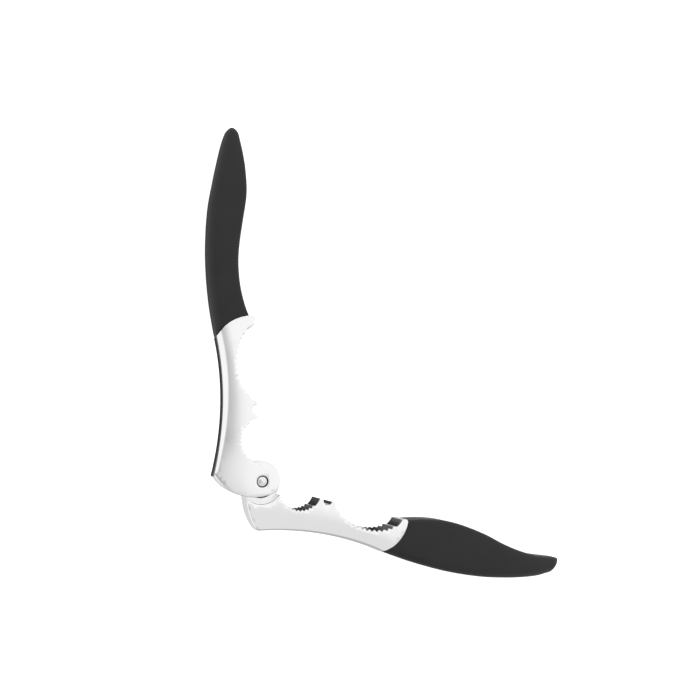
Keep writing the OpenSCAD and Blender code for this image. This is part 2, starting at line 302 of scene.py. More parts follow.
def casting_outline(eye, edge, heel, eye_round, corner_radius, back_round):
    """The closed outline as stretches of (points, rounding of their edges)."""
    heel_centre, heel_radius = heel
    fillet = corner_fillet(heel, corner_radius)
    foot = crossing(((0, 0), eye), heel, 1)
    foot_angle = angle_of(foot, (0, 0))
    eye_end = math.degrees(math.acos(min(EYE_FLAT_X / eye, 1)))
    back_angle = edge_meets_back(edge)
    back_end = arc(EDGE_CENTRE, edge, back_angle, back_angle, 1)[0]
    lip_angle = math.degrees(math.asin((LIP_RADIUS + LIP_CLEARANCE - EDGE_CENTRE[1]) / edge))
    nose = (EDGE_CENTRE[0] + edge - LIP_RADIUS, LIP_CLEARANCE + LIP_RADIUS)
    small = [p for p in pocket_line(**HAZELNUT) if p[0] > EYE_FLAT_X]
    heel_top = angle_of(fillet[-1], heel_centre) % 360
    heel_foot = angle_of(foot, heel_centre) % 360
    eye_side = [(EYE_FLAT_X, 0)] if eye < EYE_FLAT_X else []
    return [
        (arc(heel_centre, heel_radius, heel_top, heel_foot, HEEL_STEPS), ROUND_HEEL),
        (arc((0, 0), eye, foot_angle % 360 - 360, eye_end, EYE_STEPS) + eye_side, eye_round),
        ([(EYE_FLAT_X, JAW_START_Y)] + small, ROUND_JAW),
        (arc((NOTCH_X, LAND_Y), NOTCH_RADIUS, 180, 0, NOTCH_STEPS), ROUND_NOTCH),
        (pocket_line(**WALNUT), ROUND_JAW),
        (arc(nose, LIP_RADIUS, -90, LIP_END_ANGLE, LIP_STEPS), ROUND_LIP),
        (arc(EDGE_CENTRE, edge, lip_angle, back_angle, EDGE_STEPS), ROUND_GRIP_EDGE),
        *back_stretch(back_end, fillet[0], back_round),
        (fillet, ROUND_CORNER),
    ]


for side, sizes in (("lower", LOWER), ("upper", UPPER)):
    print(side, "casting outline in", len(casting_outline(**sizes)), "stretches")

# %% [markdown]
# ## One closed line
# A bmesh face needs its corners once each, in order. Points that fall together are dropped, and
# a point is added where the outline crosses the round seat or slot of the hinge, because the
# flat face will be cut from one of those points to the other.

# %% Close and cut the line
SAME_POINT = 0.01
CUT_CLEARANCE = 0.25


def closed_line(stretches):
    """One list of points without repeats, and the rounding of the edge after each point."""
    points, rounding = [], []
    for stretch, value in stretches:
        for p in stretch:
            if points and math.dist(points[-1], p) < SAME_POINT:
                rounding[-1] = value
                continue
            points.append(p)
            rounding.append(value)
    if math.dist(points[0], points[-1]) < SAME_POINT:
        points.pop()
        rounding.pop()
    return points, rounding


def with_crossings(points, rounding, radius):
    """Adds a point wherever the outline crosses a circle about the pin."""
    line, values = [], []
    for i, p in enumerate(points):
        q = points[(i + 1) % len(points)]
        line.append(p)
        values.append(rounding[i])
        dp, dq = math.hypot(*p) - radius, math.hypot(*q) - radius
        if dp * dq < 0:
            u = dp / (dp - dq)
            cut = (p[0] + (q[0] - p[0]) * u, p[1] + (q[1] - p[1]) * u)
            if min(math.dist(cut, p), math.dist(cut, q)) > CUT_CLEARANCE:
                line.append(cut)
                values.append(rounding[i])
    return line, values


print("corners of the lower outline", len(closed_line(casting_outline(**LOWER))[0]))

# %% [markdown]
# ## Building half a casting
# Both castings are alike on their two sides, so one half is built and mirrored. A flat outline
# face is extruded, and a flat face is cut in two along the round seat or slot, so that the part
# beyond the cut can be extruded on its own. Round holes are cut the same way: two half circles
# split a disc off the face. No boolean is needed, so every edge stays clean enough to bevel.

# %% Sizes of the hinge, and two plain moves
HINGE = {"tongue_half": 2.8, "slot_half": 3.4, "seat": 11.1, "slot": 11.2, "bore": 2.0,
         "clearance": 0.05, "counterbore": 3.0, "counterbore_depth": 1.2}
LEVEL = 1e-4


def corner_at(face, x, y):
    """The corner of a face nearest to a point."""
    return min(face.verts, key=lambda v: math.dist((v.co.x, v.co.y), (x, y)))


def lift(bm, face, height, keep=False):
    """Extrudes a face straight up or down by height, and returns the moved face."""
    made = bmesh.ops.extrude_face_region(bm, geom=[face])["geom"]
    moved = [v for v in made if isinstance(v, bmesh.types.BMVert)]
    bmesh.ops.translate(bm, verts=moved, vec=(0, 0, height))
    if not keep and face.is_valid:
        bmesh.ops.delete(bm, geom=[face], context="FACES_ONLY")
    return next(f for f in made if isinstance(f, bmesh.types.BMFace))


print("tongue", 2 * HINGE["tongue_half"], "mm thick, slot", 2 * HINGE["slot_half"], "mm wide")

# %% Cut arcs and holes in a flat face
HOLE_STEPS = 24


def cut_round(bm, face, radius, first, last, between_angles):
    """Cuts a face along a circle about the pin, from one of its corners to another."""
    start = corner_at(face, *first)
    end = corner_at(face, *last)
    z = start.co.z
    path = [(x, y, z) for x, y in arc((0, 0), radius, *between_angles)[1:-1]]
    other = bmesh.utils.face_split(face, start, end, coords=path)[0]
    return face, other


def cut_hole(bm, face, radius, left, right):
    """Splits a disc about the pin off a face, between a corner on each side. Returns the disc."""
    a = corner_at(face, *left)
    b = corner_at(face, *right)
    z = a.co.z
    half = HOLE_STEPS // 2
    under = [(x, y, z) for x, y in arc((0, 0), radius, 180, 360, half)]
    other = bmesh.utils.face_split(face, a, b, coords=under)[0]
    owner = next(f for f in (face, other) if is_above(f))
    c = corner_at(owner, -radius, 0)
    d = corner_at(owner, radius, 0)
    over = [(x, y, z) for x, y in arc((0, 0), radius, 180, 0, half)[1:-1]]
    last = bmesh.utils.face_split(owner, c, d, coords=over)[0]
    return min((owner, last), key=lambda f: f.calc_area())


def is_above(face):
    """Whether a face lies mostly on the +Y side of the pin."""
    return face.calc_center_median().y > 0


def level_faces(bm, z):
    """The faces that lie flat at one height."""
    return [f for f in bm.faces if all(abs(v.co.z - z) < LEVEL for v in f.verts)]


print("holes are cut with", HOLE_STEPS, "sides")

# %% [markdown]
# ## Rounding the edges
# One bevel for all edges would be too soft for the teeth or too sharp for the back. The Bevel
# modifier takes a width for each edge from a weight, so soft and crisp edges meet in one clean
# step at their shared corner. Edges are found again by their middles, since the outline's points
# are known and a mesh edge has no name of its own.

# %% Bevel by weight
WIDEST = 3.0
PLACES = 3
BEVEL_SEGMENTS = 4


def weight_edges(bm, outline, rounding, z_top, extra):
    """Gives each outline edge at z_top its rounding, and other edges by the function extra."""
    layer = bm.edges.layers.float.new("bevel_weight_edge")
    wanted = {}
    for i, p in enumerate(outline):
        q = outline[(i + 1) % len(outline)]
        middle = (round((p[0] + q[0]) / 2, PLACES), round((p[1] + q[1]) / 2, PLACES))
        wanted[middle] = rounding[i]
    for edge in bm.edges:
        a, b = edge.verts
        middle = (a.co + b.co) / 2
        width = None
        if abs(a.co.z - z_top) < LEVEL and abs(b.co.z - z_top) < LEVEL:
            width = wanted.get((round(middle.x, PLACES), round(middle.y, PLACES)))
        if width is None:
            width = extra(a.co, b.co)
        edge[layer] = width / WIDEST


def rounded(bm):
    """Bevels a bmesh by its edge weights and returns it as a new bmesh."""
    mesh = bpy.data.meshes.new("rounding")
    bm.to_mesh(mesh)
    bm.free()
    blank = bpy.data.objects.new("rounding", mesh)
    bpy.context.scene.collection.objects.link(blank)
    bevel = blank.modifiers.new("edges", "BEVEL")
    bevel.limit_method = "WEIGHT"
    bevel.width = WIDEST
    bevel.segments = BEVEL_SEGMENTS
    bevel.use_clamp_overlap = False
    bevel.miter_outer = "MITER_SHARP"
    bpy.context.view_layer.update()
    shaped = blank.evaluated_get(bpy.context.evaluated_depsgraph_get()).to_mesh()
    result = bmesh.new()
    result.from_mesh(shaped)
    bpy.data.objects.remove(blank)
    bpy.data.meshes.remove(mesh)
    return result


print("each rounded edge takes", BEVEL_SEGMENTS, "steps")

# %% [markdown]
# ## Crowned faces
# Castings are never dead flat: polishing and the draft of the die leave the side faces slightly
# crowned, falling away towards the back. Shiny metal shows this at once, because a dead flat face
# would mirror one even tone. The face is first cut into a grid, and then each point is lowered by
# a smooth function of its distance from the back, and near the hinge of its distance from the pin.

# %% Cut the grid
GRID = 2.0
GRID_LOW = (-12, -12)
GRID_HIGH = (90, 30)


def cut_grid(bm):
    """Cuts the flat side face into a grid of small faces."""
    for axis in (0, 1):
        normal = Vector((1, 0, 0)) if axis == 0 else Vector((0, 1, 0))
        place = GRID_LOW[axis]
        while place < GRID_HIGH[axis]:
            place += GRID
            flat = level_faces(bm, HALF_T)
            geom = set(flat)
            for f in flat:
                geom.update(f.edges)
                geom.update(f.verts)
            bmesh.ops.bisect_plane(bm, geom=list(geom), dist=LEVEL, plane_co=normal * place,
                                   plane_no=normal)


print("grid step", GRID, "mm")

# %% How deep the crown is
CROWN_NARROW = 10
CROWN_WIDE = 16
CROWN_WIDTH_FADE = (20, 70)
CROWN_AT_HEEL = 0.2
CROWN_HEEL_FADE = (6, 26)
HINGE_FADE = (12, 28)
EYE_FLAT = 3.5
LOWER_CROWN = (0.6, HINGE["seat"] + 0.5, 0.03)
UPPER_CROWN = (1.0, 7, 0.03)


def near_back(x, y, reach):
    """1 on the back's edge, falling to 0 at a distance inside it."""
    return min(1, max(0, 1 - (back_y(x) - y) / reach))


def near_heel(x, y, heel, reach):
    """1 on the heel's edge, falling to 0 at a distance inside it."""
    (hx, hy), radius = heel
    if x > hx:
        return 0
    inside = radius - math.hypot(x - hx, y - hy)
    return min(1, max(0, 1 - inside / reach))


def soft_step(value, low, high):
    """0 below low, 1 above high, and a smooth rise between."""
    u = min(1, max(0, (value - low) / (high - low)))
    return u * u * (3 - 2 * u)


def crown_depth(x, y, back_drop, flat_radius, hinge_slope):
    """How far the side face is lowered at a point: by back_drop at the back, and by hinge_slope
    for each millimetre beyond the flat about the pin."""
    width = CROWN_WIDE + (CROWN_NARROW - CROWN_WIDE) * soft_step(x, *CROWN_WIDTH_FADE)
    drop = back_drop * (CROWN_AT_HEEL + (1 - CROWN_AT_HEEL) * soft_step(x, *CROWN_HEEL_FADE))
    beyond = max(0, math.hypot(x, y) - flat_radius)
    fall = beyond**2 / (beyond + EYE_FLAT)
    return drop * near_back(x, y, width) ** 3 + hinge_slope * fall * (1 - soft_step(x, *HINGE_FADE))


print("crown at the upper back", round(crown_depth(*BACK_LOW, *UPPER_CROWN), 2), "mm")

# %% [markdown]
# ## Bulging walls
# The back and the heel are not quite square to the side faces: a cast wall swells a little
# towards the middle of its thickness, which is where the two halves of the die part. The walls
# are cut at a few heights and their upper rows are drawn in.

# %% Crown and bulge
BACK_BULGE = 0.45
HEEL_BULGE = 0.15
BULGE_REACH = 6
BULGE_LEVELS = (1.5, 3.2, 4.4, 5.2)
MIRROR_MERGE = 1e-3


def crown(bm, heel, keep_below, shape):
    """Lowers the outer part of the half casting, and draws in the top of its back and heel."""
    hx, hy = heel[0]
    for v in bm.verts:
        x, y, z = v.co
        if z > keep_below:
            share = (z - keep_below) / (HALF_T - keep_below)
            v.co.z -= share * crown_depth(x, y, *shape)
        rise = (z / HALF_T) ** 2
        pull = HEEL_BULGE * rise * near_heel(x, y, heel, BULGE_REACH)
        away = math.hypot(x - hx, y - hy)
        v.co.x += pull * (hx - x) / away
        v.co.y += pull * (hy - y) / away - BACK_BULGE * rise * near_back(x, y, BULGE_REACH)


def cut_levels(bm):
    """Cuts the walls at a few heights, so that they can bulge."""
    for z in BULGE_LEVELS:
        bmesh.ops.bisect_plane(bm, geom=bm.verts[:] + bm.edges[:] + bm.faces[:], dist=LEVEL,
                               plane_co=(0, 0, z), plane_no=(0, 0, 1))


def add_mirror_half(bm):
    """Adds the other half of a casting below the middle of its thickness."""
    bmesh.ops.delete(bm, geom=level_faces(bm, 0), context="FACES_ONLY")
    bmesh.ops.mirror(bm, geom=bm.verts[:] + bm.edges[:] + bm.faces[:], matrix=Matrix.Identity(4),
                     merge_dist=MIRROR_MERGE, axis="Z")


print("the walls are cut at", BULGE_LEVELS, "mm above the middle")

# %% [markdown]
# ## The lower casting
# The lower lever ends in a tongue between two round seats. It could be carved out of a full
# thickness with booleans, but the edges they leave are hard to round. Here a thin middle plate
# carries the tongue, and only the part of it beyond the seat arc rises to the full thickness.

# %% Half of the lower casting
ROUND_SEAT = 1.0
NEAR_ARC = 0.3
ON_ARC = 0.25
AT_TOP = 1e-3
SEAT_STEPS = 16


def ends_on_arc(outline, radius):
    """The two points where the outline crosses a circle about the pin: heel side, jaw side."""
    touching = [p for p in outline if abs(math.hypot(*p) - radius) < NEAR_ARC]
    return min(touching, key=lambda p: p[0]), max(touching, key=lambda p: p[0])


def split_along_arc(bm, face, outline, radius):
    """Cuts a face along a circle about the pin. Returns the large jaw side and the hinge side."""
    heel_end, jaw_end = ends_on_arc(outline, radius)
    angles = (angle_of(heel_end, (0, 0)), angle_of(jaw_end, (0, 0)), SEAT_STEPS)
    halves = cut_round(bm, face, radius, heel_end, jaw_end, angles)
    return max(halves, key=lambda f: f.calc_area()), min(halves, key=lambda f: f.calc_area())


def top_circle(p, q, radius, tolerance):
    """Whether an edge lies on a circle about the pin in the top face."""
    at_top = abs(p.z - HALF_T) < AT_TOP and abs(q.z - HALF_T) < AT_TOP
    return at_top and abs(math.hypot((p.x + q.x) / 2, (p.y + q.y) / 2) - radius) < tolerance


def lower_half():
    """The upper half of the lower casting: tongue, seat and jaw."""
    outline, rounding = closed_line(casting_outline(**LOWER))
    outline, rounding = with_crossings(outline, rounding, HINGE["seat"])
    bm = bmesh.new()
    plate = bm.faces.new([bm.verts.new((x, y, 0)) for x, y in outline])
    top = lift(bm, plate, HINGE["tongue_half"])
    jaw, tongue = split_along_arc(bm, top, outline, HINGE["seat"])
    lift(bm, jaw, HALF_T - HINGE["tongue_half"])
    left = (LOWER["heel"][0][0] - LOWER["heel"][1], 0)
    disc = cut_hole(bm, tongue, HINGE["bore"] + HINGE["clearance"], left, (LOWER["eye"], 0))
    floor = lift(bm, disc, -HINGE["tongue_half"])
    bmesh.ops.delete(bm, geom=[floor], context="FACES_ONLY")

    def extra(p, q):
        return ROUND_SEAT if top_circle(p, q, HINGE["seat"], ON_ARC) else 0

    weight_edges(bm, outline, rounding, HALF_T, extra)
    return bm


# %% Make the lower casting
CROWN_FROM = 0.3


def make_casting(half, name, place, body, heel, keep_below, shape):
    """Rounds, crowns and mirrors half a casting, and makes it a piece."""
    bm = rounded(half)
    cut_grid(bm)
    cut_levels(bm)
    crown(bm, heel, keep_below, shape)
    add_mirror_half(bm)
    return finish_piece(bm, name, place, body)


lower_casting = make_casting(lower_half(), "lower_casting", TO_LOWER, "lower_side",
                             LOWER["heel"], HINGE["tongue_half"] + CROWN_FROM, LOWER_CROWN)
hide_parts("lower_lever")

# %% [markdown]
# ## The upper casting
# The upper lever ends in two cheeks with a slot between them, which hold the tongue. Here the
# outer plate is made first, and the part of it beyond the slot arc goes down to the middle. Each
# cheek is bored for the pin and sunk a little around the pin's head: the two holes are cut in
# the cheek's two faces, and bridging their edges makes the stepped bore.

# %% Half of the upper casting
ROUND_RIM = 0.06
ON_RIM = 0.1


def upper_half():
    """The upper half of the upper casting: one cheek, its bore and the jaw."""
    outline, rounding = closed_line(casting_outline(**UPPER))
    outline, rounding = with_crossings(outline, rounding, HINGE["slot"])
    bm = bmesh.new()
    plate = bm.faces.new([bm.verts.new((x, y, HINGE["slot_half"])) for x, y in outline])
    top = lift(bm, plate, HALF_T - HINGE["slot_half"], keep=True)
    jaw, cheek = split_along_arc(bm, plate, outline, HINGE["slot"])
    lift(bm, jaw, -HINGE["slot_half"])
    left = (UPPER["heel"][0][0] - UPPER["heel"][1], 0)
    bore = cut_hole(bm, cheek, HINGE["bore"], left, (EYE_FLAT_X, 0))
    sink = cut_hole(bm, top, HINGE["counterbore"], left, (EYE_FLAT_X, 0))
    floor = lift(bm, sink, -HINGE["counterbore_depth"])
    bmesh.ops.inset_individual(bm, faces=[floor], thickness=HINGE["counterbore"] - HINGE["bore"])
    rings = list(floor.edges) + list(bore.edges)
    bmesh.ops.delete(bm, geom=[floor, bore], context="FACES_ONLY")
    bmesh.ops.bridge_loops(bm, edges=rings)

    def extra(p, q):
        return ROUND_RIM if top_circle(p, q, HINGE["counterbore"], ON_RIM) else 0

    weight_edges(bm, outline, rounding, HALF_T, extra)
    return bm


# %% Make the upper casting
upper_casting = make_casting(upper_half(), "upper_casting", TO_UPPER, "upper_side",
                             UPPER["heel"], HINGE["slot_half"] + CROWN_FROM, UPPER_CROWN)
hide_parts("upper_lever")

# %% [markdown]
# ## The grips
# Each grip is a long soft handle with an S-shaped side view: a full belly for the palm, a hollow
# for the fingers and a turned-up tip. The two are not alike. Two smooth curves, one along the
# back and one along the inner side, give the whole side view.

# %% Side curves of the grips
UPPER_GRIP = {
    "edge": UPPER["edge"],
    "back": smooth_curve([(66, 18.6), (76, 20.3), (90, 22.2), (106, 23.3), (122, 23.3),
                          (142, 21.6), (158, 18.5), (174, 14.8), (180.5, 13), (188, 10.3)]),
    "front": smooth_curve([(70, -3), (84, 3.1), (90, 5.1), (100, 7), (112, 7.5), (122, 6.6),
                           (134, 4.5), (150, 1.7), (164, 1.7), (174, 2.7), (188, 4.9)]),
    "end": 183.5, "tip": (188.0, 7.7), "drop": UPPER_CROWN[0],
}
LOWER_GRIP = {
    "edge": LOWER["edge"],
    "back": smooth_curve([(62, 18.3), (70, 19.2), (92, 21.2), (114, 21.7), (134, 20.4),
                          (150, 17.9), (163, 15.1), (173, 12.3), (179, 9.8), (185.2, 7.5)]),
    "front": smooth_curve([(66, 4), (82, 0.5), (91, -2), (101, -3.9), (111, -4.6), (122, -4),
                           (133, -2.6), (144, -0.3), (156, 1.2), (167, 1.5), (178, 0.3),
                           (183, -0.4)]),
    "end": 180.5, "tip": (185.2, 0.3), "drop": LOWER_CROWN[0],
}
BELLY_X = 110
for side, grip in (("lower", LOWER_GRIP), ("upper", UPPER_GRIP)):
    print(side, "grip is", round(grip["back"](BELLY_X) - grip["front"](BELLY_X), 1), "mm deep")

# %% [markdown]
# ## Across the grips
# Cut across, a grip is a rounded box: generous corners along the back, where it lies in the palm,
# and tighter ones along the inner side. It gets thinner towards the tip. Next to the casting its
# side faces follow the casting's crown, and from there they swell evenly.

# %% Cross-section of a grip
GRIP_BACK_ROUND = 4.2
GRIP_FRONT_ROUND = 1.6
MOST_ROUND = 0.96
GRIP_CROWN = 0.8
BLEND_START = 80
BLEND_LENGTH = 40
TAPER_START = 140
TIP_T = 10
CORNER_STEPS = 6
FLAT_STEPS = 6


def grip_half_t(x, end):
    """Half the grip's thickness, which shrinks towards the tip."""
    u = max(0, (x - TAPER_START) / (end - TAPER_START))
    return HALF_T - (HALF_T - TIP_T / 2) * u**2


def ring_profile(width, half_t, shrink=0.0):
    """Points around one cross-section as (distance from the front side, height)."""
    room = MOST_ROUND * min(width / 2, half_t)
    back = min(GRIP_BACK_ROUND, room)
    front = min(GRIP_FRONT_ROUND, room)
    corners = [(width - back, half_t - back, back, 0), (front, half_t - front, front, 90),
               (front, front - half_t, front, 180), (width - back, back - half_t, back, 270)]
    points = []
    for k, (n, z, r, start) in enumerate(corners):
        points += arc((n, z), r, start, start + 90, CORNER_STEPS)
        nn, nz, nr, _ = corners[(k + 1) % 4]
        a = points[-1]
        b = arc((nn, nz), nr, start + 90, start + 90, 1)[0]
        points += [(a[0] + (b[0] - a[0]) * i / FLAT_STEPS, a[1] + (b[1] - a[1]) * i / FLAT_STEPS)
                   for i in range(1, FLAT_STEPS)]
    middle = width / 2
    return [(n + (middle - n) * shrink / middle, z - z * shrink / half_t) for n, z in points]


def grip_fall(x, y, z, middle, half_w, half_t, drop):
    """How far a grip's side face is lowered: like the casting at first, then evenly crowned."""
    own = GRIP_CROWN * ((y - middle) / half_w) ** 2
    share = soft_step(x, BLEND_START, BLEND_START + BLEND_LENGTH)
    return (crown_depth(x, y, drop, 0, 0) * (1 - share) + own * share) * z / half_t


RING_POINTS = 4 * (CORNER_STEPS + FLAT_STEPS)
print("each ring has", RING_POINTS, "points")

# %% [markdown]
# ## One ring of a grip
# The loft is a row of closed rings. The first ring lies on the arc where the bare casting ends,
# and the rings straighten gradually towards the tip, so the joint with the metal is exact. A
# point's place on that arc depends on its own height, so it is found in a few rounds.

# %% Place a ring
ARC_ROUNDS = 12


def grip_ring(grip, u, shrink=0.0, ahead=0.0):
    """One closed ring of points: u runs from 0 at the casting to 1 near the tip."""
    back, front, end = grip["back"], grip["front"], grip["end"]
    ring = []
    for k in range(RING_POINTS):
        x = EDGE_CENTRE[0] + grip["edge"]
        for _ in range(ARC_ROUNDS):
            n = front(x) + ring_profile(back(x) - front(x), HALF_T, shrink)[k][0]
            reach = grip["edge"] ** 2 - (n - EDGE_CENTRE[1]) ** 2
            x = EDGE_CENTRE[0] + math.sqrt(max(reach, 0))
        x += ahead + (end - x) * u
        width = back(x) - front(x)
        half_t = grip_half_t(x, end)
        n, z = ring_profile(width, half_t, shrink)[k]
        y = front(x) + n
        z -= grip_fall(x, y, z, front(x) + width / 2, width / 2, half_t, grip["drop"])
        ring.append((x, y, z))
    return ring


print("the upper grip starts at x", round(min(p[0] for p in grip_ring(UPPER_GRIP, 0)), 1), "mm")

# %% [markdown]
# ## Lofting the grips
# Bridging each ring to the next makes the skin. The first ring is drawn in to close the end, and
# the second makes the fine groove where a moulded grip meets its casting. The last ones close in
# on the tip by a quarter turn, so the end is round and keeps the slope of both sides.

# %% Make the two grips
GRIP_SOCKET = 2.0
SOCKET_DEPTH = 0.6
GRIP_GROOVE = 0.15
GROOVE_DEPTH = 0.02
RINGS = 44
FIRST_RING = 0.1
TIP_RINGS = 7
TIP_FLAT = 0.25
TIP_TURN = 87
GRIP_SHARP_ANGLE = 60


def make_grip(grip, name, place, body, node):
    """Lofts a grip from the casting's edge to its tip."""
    bm = bmesh.new()
    even = [(i + FIRST_RING) / RINGS for i in range(RINGS)]
    shares = [(u + math.sin(math.pi * u / 2)) / 2 for u in even] + [1]
    rings = [grip_ring(grip, 0, GRIP_SOCKET, SOCKET_DEPTH),
             grip_ring(grip, 0, GRIP_GROOVE, GROOVE_DEPTH)]
    rings += [grip_ring(grip, u) for u in shares]
    tip_x, tip_y = grip["tip"]
    for i in range(1, TIP_RINGS + 1):
        a = math.radians(TIP_TURN * i / TIP_RINGS)
        flat = TIP_FLAT + (1 - TIP_FLAT) * math.cos(a)
        ring = grip_ring(grip, 1, 0, (tip_x - grip["end"]) * math.sin(a))
        rings.append([(x, tip_y + (y - tip_y) * math.cos(a), z * flat) for x, y, z in ring])
    loops = []
    for ring in rings:
        verts = [bm.verts.new(p) for p in ring]
        loops.append([bm.edges.new((verts[i], verts[(i + 1) % len(verts)]))
                      for i in range(len(verts))])
    for a, b in zip(loops, loops[1:]):
        bmesh.ops.bridge_loops(bm, edges=a + b)
    bmesh.ops.holes_fill(bm, edges=loops[0] + loops[-1])
    piece = finish_piece(bm, name, place, body, GRIP_SHARP_ANGLE)
    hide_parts(node)
    return piece


upper_grip = make_grip(UPPER_GRIP, "upper_grip", TO_UPPER, "upper_side", "upper_grip_skin")
lower_grip = make_grip(LOWER_GRIP, "lower_grip", TO_LOWER, "lower_side", "lower_grip_skin")

# %% [markdown]
# ## The hinge pin
# The pin is a rivet turned from bar, with a crowned head sunk in each cheek. Anything turned is
# easiest to spin: a half profile is drawn once and turned around the pin's axis.

# %% Spin the pin
PIN_HEAD_R = 2.65
PIN_HEAD_T = 1.2
PIN_SUNK = 0.15
PIN_RIM = 0.55
PIN_CROWN = 0.35
CROWN_STEPS = 6
RIM_START_ANGLE = 70
RIM_STEPS = 4
PIN_SHARP_ANGLE = 50
SPIN_STEPS = 64


def spun(bm, profile):
    """Turns a line of (radius, height) points around the pin axis."""
    verts = [bm.verts.new((r, 0, z)) for r, z in profile]
    edges = [bm.edges.new(pair) for pair in zip(verts, verts[1:])]
    bmesh.ops.spin(bm, geom=verts + edges, cent=(0, 0, 0), axis=(0, 0, 1), angle=2 * math.pi,
                   steps=SPIN_STEPS, use_merge=True)


def pin_profile():
    """The rivet's half profile, from the middle of one head to the middle of the other."""
    top = HALF_T - PIN_SUNK
    flat = PIN_HEAD_R - PIN_RIM
    shares = [i / CROWN_STEPS for i in range(CROWN_STEPS + 1)]
    half = [(flat * share, top - PIN_CROWN * share**2) for share in shares]
    half += arc((flat, top - PIN_CROWN - PIN_RIM), PIN_RIM, RIM_START_ANGLE, 0, RIM_STEPS)
    half += [(PIN_HEAD_R, HALF_T - PIN_HEAD_T), (HINGE["bore"], HALF_T - PIN_HEAD_T)]
    return half + [(r, -z) for r, z in reversed(half)]


pin_bm = bmesh.new()
spun(pin_bm, pin_profile())
hinge_rivet = finish_piece(pin_bm, "hinge_rivet", TO_UPPER, "upper_side",
                           PIN_SHARP_ANGLE)
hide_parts("hinge_pin")

# %% [markdown]
# ## The washers
# A thin plastic washer on each side of the tongue keeps metal from scraping on metal. It is a
# flat ring, so its small rectangular profile is spun like the pin's.

# %% Spin the washers
WASHER_R = 8.4
WASHER_T = 0.5


def make_washer(name, side, node):
    """A washer against one face of the tongue: side is -1 below and 1 above."""
    inner = HINGE["tongue_half"] * side
    outer = inner + WASHER_T * side
    hole = HINGE["bore"] + HINGE["clearance"]
    bm = bmesh.new()
    spun(bm, [(hole, inner), (WASHER_R, inner), (WASHER_R, outer), (hole, outer), (hole, inner)])
    piece = finish_piece(bm, name, TO_UPPER, "lower_side")
    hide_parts(node)
    return piece


washers = [make_washer("thin_washer_below", -1, "lower_washer"),
           make_washer("thin_washer_above", 1, "upper_washer")]

# %% [markdown]
# ## The tangs inside the grips
# Each casting runs on inside its grip as a flat tang. The hard core is moulded around it and two
# cross pins lock them together. The tang is hidden, so a plain extruded plate that follows the
# middle of the grip is enough.

# %% Make the two tangs
TANG_START = 79
TANG_END = 150
TANG_HALF_WIDTH = 3.4
TANG_HALF_T = 2.45
TANG_STEPS = 18


def make_tang(grip, name, place, body):
    """A flat plate along the middle of a grip."""
    line = []
    for i in range(TANG_STEPS + 1):
        x = TANG_START + (TANG_END - TANG_START) * i / TANG_STEPS
        line.append((x, (grip["back"](x) + grip["front"](x)) / 2))
    outline = [(x, y + TANG_HALF_WIDTH) for x, y in line]
    outline += [(x, y - TANG_HALF_WIDTH) for x, y in reversed(line)]
    bm = bmesh.new()
    face = bm.faces.new([bm.verts.new((x, y, -TANG_HALF_T)) for x, y in outline])
    lift(bm, face, 2 * TANG_HALF_T, keep=True)
    return finish_piece(bm, name, place, body)


lower_tang = make_tang(LOWER_GRIP, "lower_tang", TO_LOWER, "lower_side")
upper_tang = make_tang(UPPER_GRIP, "upper_tang", TO_UPPER, "upper_side")

# %% [markdown]
# ## Finishes
# Every finish is a small tree of procedural noise in object coordinates, so no piece is one flat
# colour. A slow noise varies the tone, as handling and polishing do. A fine noise varies the
# gloss and drives a very shallow bump: the orange peel under plating, the grain of soft rubber,
# or the turning marks of a pin. An image could do the same, but noise has no seams and no size.

# %% A finish made of two noises
TONE_FROM = 0.3
TONE_TO = 0.7
SLOW_DETAIL = 3
FINE_DETAIL = 2


def new_finish(name, dark, light, gloss, metallic, slow, fine, depth, stretch=(1, 1, 1)):
    """Tone runs from dark to light, roughness over the pair gloss, and bumps are depth deep."""
    material = bpy.data.materials.new(name)
    material.use_nodes = True
    tree = material.node_tree
    shader = tree.nodes["Principled BSDF"]
    shader.inputs["Metallic"].default_value = metallic
    where = tree.nodes.new("ShaderNodeTexCoord")
    mapping = tree.nodes.new("ShaderNodeMapping")
    mapping.inputs["Scale"].default_value = stretch
    tree.links.new(where.outputs["Object"], mapping.inputs["Vector"])
    noises = []
    for scale, detail in ((slow, SLOW_DETAIL), (fine, FINE_DETAIL)):
        noise = tree.nodes.new("ShaderNodeTexNoise")
        noise.inputs["Scale"].default_value = scale
        noise.inputs["Detail"].default_value = detail
        tree.links.new(mapping.outputs["Vector"], noise.inputs["Vector"])
        noises.append(noise.outputs["Fac"])
    tone = tree.nodes.new("ShaderNodeValToRGB")
    tone.color_ramp.elements[0].position = TONE_FROM
    tone.color_ramp.elements[0].color = (*dark, 1)
    tone.color_ramp.elements[1].position = TONE_TO
    tone.color_ramp.elements[1].color = (*light, 1)
    tree.links.new(noises[0], tone.inputs["Fac"])
    tree.links.new(tone.outputs["Color"], shader.inputs["Base Color"])
    sheen = tree.nodes.new("ShaderNodeMapRange")
    sheen.inputs["To Min"].default_value = gloss[0]
    sheen.inputs["To Max"].default_value = gloss[1]
    tree.links.new(noises[1], sheen.inputs["Value"])
    tree.links.new(sheen.outputs["Result"], shader.inputs["Roughness"])
    bump = tree.nodes.new("ShaderNodeBump")
    bump.inputs["Distance"].default_value = depth
    bump.inputs["Strength"].default_value = 1
    tree.links.new(noises[1], bump.inputs["Height"])
    tree.links.new(bump.outputs["Normal"], shader.inputs["Normal"])
    return material, shader


print("the tone varies between noise levels", TONE_FROM, "and", TONE_TO)
